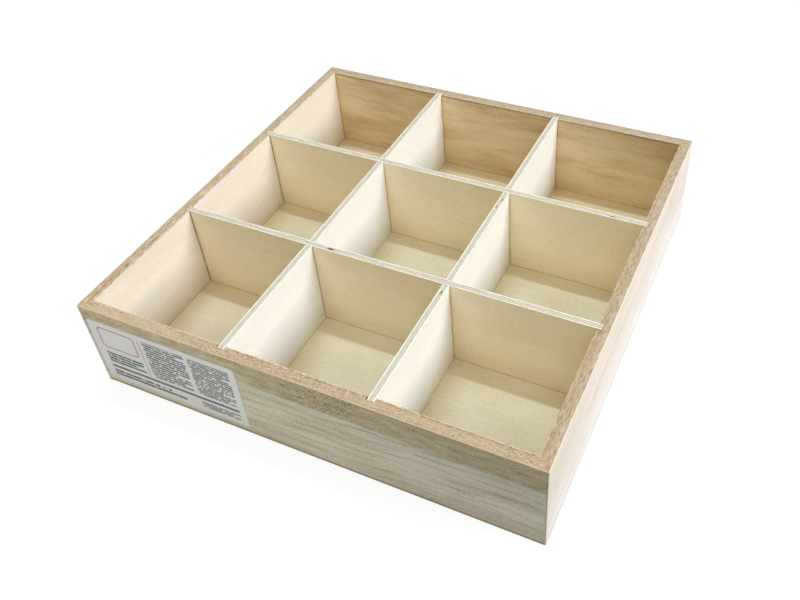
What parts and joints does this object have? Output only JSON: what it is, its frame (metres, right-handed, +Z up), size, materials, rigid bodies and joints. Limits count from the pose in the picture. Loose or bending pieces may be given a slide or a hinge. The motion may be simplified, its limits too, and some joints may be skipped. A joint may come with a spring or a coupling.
{
  "type": "compartment storage box",
  "caption": "Open wooden tray with a mitred frame, a thin plywood bottom and a lift-out grid of half-lapped plywood dividers.",
  "frame": {"origin": "middle of the underside of the bottom panel", "axes": "+X left to right along the front wall, +Y from the front wall to the back wall, +Z up out of the open top"},
  "size_m": [0.24, 0.24, 0.054],
  "materials": {
    "board_wood": "unfinished, sanded",
    "divider_plywood": "unfinished, sanded",
    "bottom_plywood": "unfinished, sanded",
    "staple_wire": "galvanised"
  },
  "bodies": {
    "tray": {"front_wall": "board_wood", "back_wall": "board_wood", "left_wall": "board_wood", "right_wall": "board_wood", "bottom_panel": "bottom_plywood", "bottom_staples": "staple_wire"},
    "left_long_divider": {"left_long_divider": "divider_plywood"},
    "right_long_divider": {"right_long_divider": "divider_plywood"},
    "front_cross_divider": {"front_cross_divider": "divider_plywood"},
    "back_cross_divider": {"back_cross_divider": "divider_plywood"}
  },
  "joints": [
    {"name": "left_long_lift", "type": "slide", "parent": "tray", "child": "left_long_divider", "axis": [0, 0, 1], "range_m": [0, 0.06]},
    {"name": "right_long_lift", "type": "slide", "parent": "tray", "child": "right_long_divider", "axis": [0, 0, 1], "range_m": [0, 0.06]},
    {"name": "front_cross_lift", "type": "slide", "parent": "left_long_divider", "child": "front_cross_divider", "axis": [0, 0, 1], "range_m": [0, 0.06]},
    {"name": "back_cross_lift", "type": "slide", "parent": "left_long_divider", "child": "back_cross_divider", "axis": [0, 0, 1], "range_m": [0, 0.06]}
  ],
  "couplings": [
    {"joint": "right_long_lift", "follows": "left_long_lift", "ratio": 1}
  ]
}
